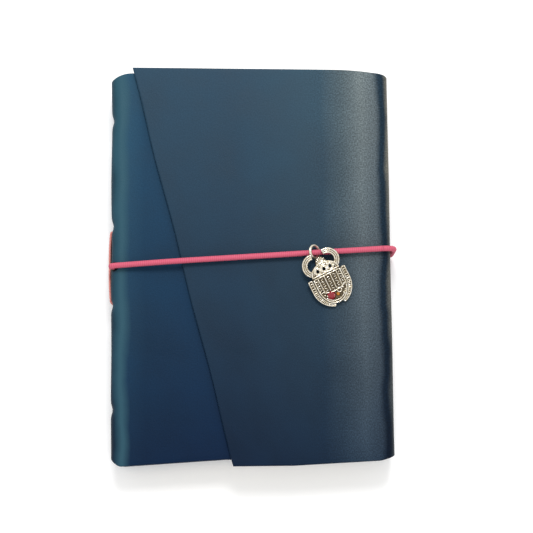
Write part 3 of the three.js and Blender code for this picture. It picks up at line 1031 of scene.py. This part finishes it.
# The charm is drawn in its own frame: Y towards its head from the loop, Z up from its back
CHARM_TILT = 26.0
LOOP_LEAN = math.radians(45)
LOOP_REACH = 2.4 * math.sin(LOOP_LEAN) + 0.45
OVER_CORD = CORD_RADIUS + 0.2
LEAN_START = -3.5
PANEL_FOOT = -23.2
CASE_FOOT = -22.0
CASE_TURN = -14.7
THORAX_FOOT = -9.3
THORAX_TOP = -4.9
CASE_HALF = 5.8
PLATE = 1.2
RELIEF = 1.8
LEG_PLACE = (3.0, -5.1)
LEG_LEVEL = 0.95
LEG_TURN = (-52, 97)
LEG_RIDGES = ((4.35, 0.34), (3.6, 0.24), (2.85, 0.34))
LEG_BAR = (2.6, 4.6)
WIRE_SIDES = 8
WIRE_UP = (0.013, 0.007, 1)
DROP_PITCH = 2.65
slope = math.atan2(OVER_CORD + LOOP_REACH, LEAN_START - PANEL_FOOT)


def on_charm(points):
    """From the charm's own frame to the row: leaned towards the tail, turned, and set at the loop."""
    p = np.asarray(points, float).reshape(-1, 3)
    y, z = p[:, 1] - LEAN_START, p[:, 2]
    leaned_y = y * math.cos(slope) - z * math.sin(slope) + LEAN_START
    leaned_z = y * math.sin(slope) + z * math.cos(slope) + OVER_CORD
    c, s = math.cos(math.radians(CHARM_TILT)), math.sin(math.radians(CHARM_TILT))
    x = p[:, 0] * c - leaned_y * s + loop_middle[0]
    y = p[:, 0] * s + leaned_y * c + loop_middle[1]
    return np.stack([x, y, leaned_z + cord_z], -1)


def wire(line, level, radius):
    """A raised line of the casting, along points in X and Y of the charm at one height."""
    points = np.column_stack([line, np.full(len(line), level)])
    grid, quads = tube_grid(points, radius, WIRE_SIDES, WIRE_UP)
    return on_charm(grid), quads


def ellipse_line(x, y, half_x, half_y, start, end, steps=30):
    """Points of an ellipse about x and y, by angle in degrees."""
    a = np.radians(np.linspace(start, end, steps))
    return np.stack([x + half_x * np.cos(a), y + half_y * np.sin(a)], -1)


def case_line(half, top, foot, left_stop=180, right_stop=360):
    """Shoulder to foot to shoulder: straight sides and a round foot, or a part of it."""
    foot_arc = ellipse_line(0, CASE_TURN, half, CASE_TURN - foot, left_stop, right_stop)
    left_side = run((-half, top), (-half, CASE_TURN), 10)[:-1] if left_stop == 180 else np.empty((0, 2))
    right_side = run((half, CASE_TURN), (half, top), 10)[1:] if right_stop == 360 else np.empty((0, 2))
    return np.concatenate([left_side, foot_arc, right_side])


def dots(places, radius, z):
    """Small round studs, flattened to 0.7 of their height."""
    around = np.linspace(0, 2 * np.pi, 8, endpoint=False)
    a, b = np.meshgrid(around, np.linspace(-1.5, 1.5, 5), indexing="ij")
    ball = np.stack([np.cos(a) * np.cos(b), np.sin(a) * np.cos(b), 0.7 * np.sin(b)], -1)
    ball = ball.reshape(-1, 3) * radius
    return [(on_charm(ball + (x, y, z)), grid_quads(8, 5, wrap=True)) for x, y in places]


def leg_wires(side):
    """Three ridges along a front leg, and a bar across its end."""
    start, end = LEG_TURN if side > 0 else (180 - LEG_TURN[1], 180 - LEG_TURN[0])
    x, y = side * LEG_PLACE[0], LEG_PLACE[1]
    parts = []
    for radius, thickness in LEG_RIDGES:
        line = ellipse_line(x, y, radius, radius, start, end, 26)
        parts.append(wire(line, LEG_LEVEL, thickness))
    tip = math.radians(end if side > 0 else start)
    towards = np.array([math.cos(tip), math.sin(tip)])
    across = run(LEG_BAR[0] * towards, LEG_BAR[1] * towards, 5) + (x, y)
    parts.append(wire(across, LEG_LEVEL, 0.3))
    return parts


def thorax_wires():
    """Rim of the thorax with a line inside it, and three open drops, each with two rounds about it."""
    half, height = CASE_HALF - 0.3, THORAX_TOP - THORAX_FOOT
    outline = ellipse_line(0, THORAX_FOOT, half, height - 0.3, 0, 180, 36)
    base = run((-half, THORAX_FOOT), (half, THORAX_FOOT), 12)
    inner = ellipse_line(0, THORAX_FOOT + 0.65, half - 0.9, height - 1.6, 0, 180)
    parts = [
        wire(outline, RELIEF, 0.3),
        wire(base, RELIEF, 0.26),
        wire(inner, RELIEF - 0.02, 0.16),
    ]
    for x in (-DROP_PITCH, 0, DROP_PITCH):
        drop = ellipse_line(x, THORAX_FOOT + 1.6, 0.82, 0.95, 130, 410, 20)
        tip = np.array([[x, THORAX_FOOT + 3.05]])
        parts.append(wire(np.concatenate([tip, drop, tip]), RELIEF + 0.02, 0.2))
        for radius in (1.12, 1.38):
            about = ellipse_line(x, THORAX_FOOT + 1.75, radius, 1.08 * radius, 0, 360, 24)
            parts.append(wire(about, RELIEF - 0.02, 0.2))
    return parts


def head_wires():
    """Ridges that fan out over the head, and a smooth band round its foot."""
    parts = []
    for angle in range(12, 180, 26):
        a = math.radians(angle)
        outer = (1.95 * math.cos(a), -5.4 + 2.6 * math.sin(a))
        inner = (0.95 * math.cos(a), -5.4 + 1.1 * math.sin(a))
        parts.append(wire(run(inner, outer, 5), RELIEF, 0.27))
    brow = ellipse_line(0, -5.35, 1.15, 0.85, 0, 180, 16)
    parts.append(wire(brow, RELIEF + 0.05, 0.3))
    return parts


def case_wires():
    """Rim and shoulder of the wing case, four long ribs, rows of short marks, two bands and a scroll."""
    rim = case_line(CASE_HALF - 0.25, THORAX_FOOT - 0.9, CASE_FOOT + 0.25)
    parts = [wire(rim, RELIEF, 0.28), wire(run((-5.4, -10.1), (5.4, -10.1), 12), RELIEF, 0.2)]
    for x in (-3.9, -1.3, 1.3, 3.9):
        parts.append(wire(run((x, -10.4), (x * 0.96, -16.4), 12), RELIEF - 0.05, 0.2))
    for column in (-4.7, -2.6, 0, 2.6, 4.7):
        for row in range(6):
            middle = np.array([column, -11.2 - 0.95 * row])
            wide = 0.42 + 0.16 * math.sin(3.1 * row + column)
            tilt = 0.28 * math.sin(2.3 * row + 1.7 * column)
            reach = np.array([wide, tilt])
            parts.append(wire(run(middle - reach, middle + reach, 4), RELIEF - 0.12, 0.17))
    band = ellipse_line(0.4, -15.2, 5.0, 2.0, 200, 345, 26)
    parts.append(wire(band, RELIEF - 0.05, 0.22))
    scroll = ellipse_line(1.9, -17.6, 0.85, 0.85, 0, 350, 18)
    parts.append(wire(scroll, RELIEF, 0.22))
    low_band = ellipse_line(0, -15.3, 4.9, 5.6, 215, 322, 26)
    parts.append(wire(low_band, RELIEF - 0.1, 0.22))
    return parts


def panel_wires(side):
    """Rim of one side panel, with two bars across it and a row of small marks."""
    stops = (286, 360) if side > 0 else (180, 254)
    outer = case_line(CASE_HALF + 1.95, THORAX_FOOT - 0.8, PANEL_FOOT + 0.2, *stops)
    inner = case_line(CASE_HALF + 0.5, THORAX_FOOT - 0.8, CASE_FOOT - 0.35, *stops)
    if side > 0:
        outer, inner = outer[::-1], inner[::-1]
    rim = np.concatenate([outer, inner[::-1], outer[:1]])
    parts = [wire(rim, PLATE, 0.24)]
    for k in range(2, len(outer) - 2, 2):
        share, radius = (0.5, 0.25) if k in (10, 20) else (0.26, 0.15)
        middle = (outer[k] + inner[k]) / 2
        reach = (inner[k] - outer[k]) * share
        parts.append(wire(run(middle - reach, middle + reach, 4), PLATE, radius))
    return parts


STUDS = [(-4.2, -17.3), (-3.4, -17.9), (3.6, -17.2), (4.1, -18.4), (3.0, -19.2)]
charm_parts = thorax_wires() + head_wires() + case_wires()
charm_parts += leg_wires(-1) + leg_wires(1) + panel_wires(-1) + panel_wires(1)
charm_parts += dots(STUDS, 0.36, RELIEF - 0.1)
charm_relief = gather("charm_relief", charm_parts, silver)
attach(charm_relief, "charm")


# Rings of a cut stone from base to table: share of its radius, share of its height
STONE_RINGS = ((0.02, 0), (0.75, 0), (1.0, 0.45), (0.82, 0.75), (0.55, 1), (0.02, 1))


def faceted(name, x, y, radius, base, height, sides, material):
    """A cut stone: rings of corners at the base, girdle, crown and table."""
    angle = np.linspace(0, 2 * np.pi, sides, endpoint=False)[:, None]
    share, rise = np.array(STONE_RINGS).T
    across, up = x + radius * share * np.cos(angle), y + radius * share * np.sin(angle)
    points = on_charm(np.stack([across, up, base + height * rise + 0 * angle], -1))
    quads = grid_quads(sides, len(STONE_RINGS), wrap=True)
    obj = make_mesh(name, points, quads, material, smooth=False)
    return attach(obj, "charm")


red_stone = faceted("red_stone_cut", -1.9, -18.3, 1.75, PLATE / 2 + 0.2, 1.7, 9, red_glass)
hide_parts("red_stone")
# A small amber chip that stands for a yellow glint beside the red stone: a painted highlight
faceted("amber_glint_chip", 0.75, -18.9, 0.75, PLATE, 0.9, 7, amber_glint_glass)


RING_RADIUS = 2.45
RING_WIRE = 0.56
RING_STEPS = 64
WIRE_STEPS = 17


def loop_ring():
    """A wire ring round the cord, leaned so that its face shows from above, of uneven thickness."""
    turn = np.linspace(0, 2 * np.pi, RING_STEPS, endpoint=False)
    t, w = np.meshgrid(turn, np.linspace(0, 2 * np.pi, WIRE_STEPS), indexing="ij")
    half = RING_WIRE + 0.03 * np.cos(2 * t)
    x = (RING_RADIUS + half * np.cos(w)) * np.cos(t)
    y = (RING_RADIUS + half * np.cos(w)) * np.sin(t)
    z = half * np.sin(w)
    c, s = math.cos(LOOP_LEAN), math.sin(LOOP_LEAN)
    leaned_x, leaned_z = x * c + z * s, z * c - x * s
    c, s = math.cos(cord_lean), math.sin(cord_lean)
    px, py = leaned_x * c - y * s + loop_middle[0], leaned_x * s + y * c + loop_middle[1]
    points = np.stack([px, py, leaned_z + cord_z], -1)
    quads = grid_quads(RING_STEPS, WIRE_STEPS, wrap=True)
    closed = np.where(quads % WIRE_STEPS == WIRE_STEPS - 1, quads - WIRE_STEPS + 1, quads)
    obj = make_mesh("charm_ring", points.reshape(-1, 3), closed, silver)
    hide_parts("charm_loop")
    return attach(obj, "charm_loop")


loop_ring()

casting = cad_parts["scarab_charm"]
casting.data.materials.clear()
casting.data.materials.append(recess)


# Stage: the camera is given in millimetres, and the floor and the lamp in metres

CAMERA_DISTANCE = 600.0
CAMERA_TILT = 7.6
CAMERA_ROLL = -0.6
CAMERA_AIM = (5.0, -1.3)
PHOTO_MM_PER_PIXEL = 0.392
PHOTO_PIXELS = 533
SENSOR = 36.0
FLOOR_GLOW = 0.14
FLOOR_HALF = 3.0
WORLD_LIGHT = 0.9
HEAD_LIGHT_PLACE = (0.04, 0.4, 0.8)
HEAD_LIGHT_SIZE = 0.3
HEAD_LIGHT_POWER = 4.0


def add_floor():
    """White table that keeps the shadow. For the camera alone it glows, so it stays white far off."""
    material, nodes, links, shader = new_material("white_floor", 0.9, specular=0.0)
    shader.inputs["Base Color"].default_value = (0.95, 0.95, 0.95, 1)
    shader.inputs["Emission Color"].default_value = (1, 1, 1, 1)
    seen = nodes.new("ShaderNodeLightPath")
    glow = maths(nodes, links, "MULTIPLY", seen.outputs["Is Camera Ray"], FLOOR_GLOW)
    links.new(glow, shader.inputs["Emission Strength"])
    mesh = bpy.data.meshes.new("floor")
    corners = [(x * FLOOR_HALF, y * FLOOR_HALF, 0) for x, y in ((-1, -1), (1, -1), (1, 1), (-1, 1))]
    mesh.from_pydata(corners, [], [(0, 1, 2, 3)])
    mesh.materials.append(material)
    floor = bpy.data.objects.new("floor", mesh)
    bpy.context.scene.collection.objects.link(floor)


def add_light(name, place, size, energy):
    """A round lamp at a place in metres, aimed at the origin."""
    light = bpy.data.lights.new(name, "AREA")
    light.shape = "DISK"
    light.size = size
    light.energy = energy
    obj = bpy.data.objects.new(name, light)
    bpy.context.scene.collection.objects.link(obj)
    obj.location = place
    obj.rotation_euler = (-Vector(place)).to_track_quat("-Z", "Y").to_euler()


def add_world(strength):
    """Even white light of this strength, and plain white where the camera sees it."""
    world = bpy.data.worlds.new("studio")
    bpy.context.scene.world = world
    world.use_nodes = True
    nodes, links = world.node_tree.nodes, world.node_tree.links
    background = nodes["Background"]
    background.inputs["Color"].default_value = (1, 1, 1, 1)
    seen = nodes.new("ShaderNodeLightPath")
    bright = ranged(nodes, links, seen.outputs["Is Camera Ray"], 0, 1, strength, 1.0)
    links.new(bright, background.inputs["Strength"])


def add_camera():
    """The photo's camera: above the book, set back towards its tail by the tilt."""
    camera = bpy.data.cameras.new("camera")
    obj = bpy.data.objects.new("camera", camera)
    bpy.context.scene.collection.objects.link(obj)
    camera.sensor_width = SENSOR
    camera.lens = SENSOR * CAMERA_DISTANCE / (PHOTO_MM_PER_PIXEL * PHOTO_PIXELS)
    camera.clip_start = 0.01
    tilt = math.radians(CAMERA_TILT)
    back, up = -CAMERA_DISTANCE * math.sin(tilt), CAMERA_DISTANCE * math.cos(tilt)
    obj.location = (CAMERA_AIM[0] * MM, (CAMERA_AIM[1] + back) * MM, (flap_top + up) * MM)
    obj.rotation_euler = (tilt, 0, math.radians(CAMERA_ROLL))
    bpy.context.scene.camera = obj


add_floor()
add_world(WORLD_LIGHT)
add_light("head_light", HEAD_LIGHT_PLACE, HEAD_LIGHT_SIZE, HEAD_LIGHT_POWER)
add_camera()
bpy.context.scene.view_settings.view_transform = "Standard"
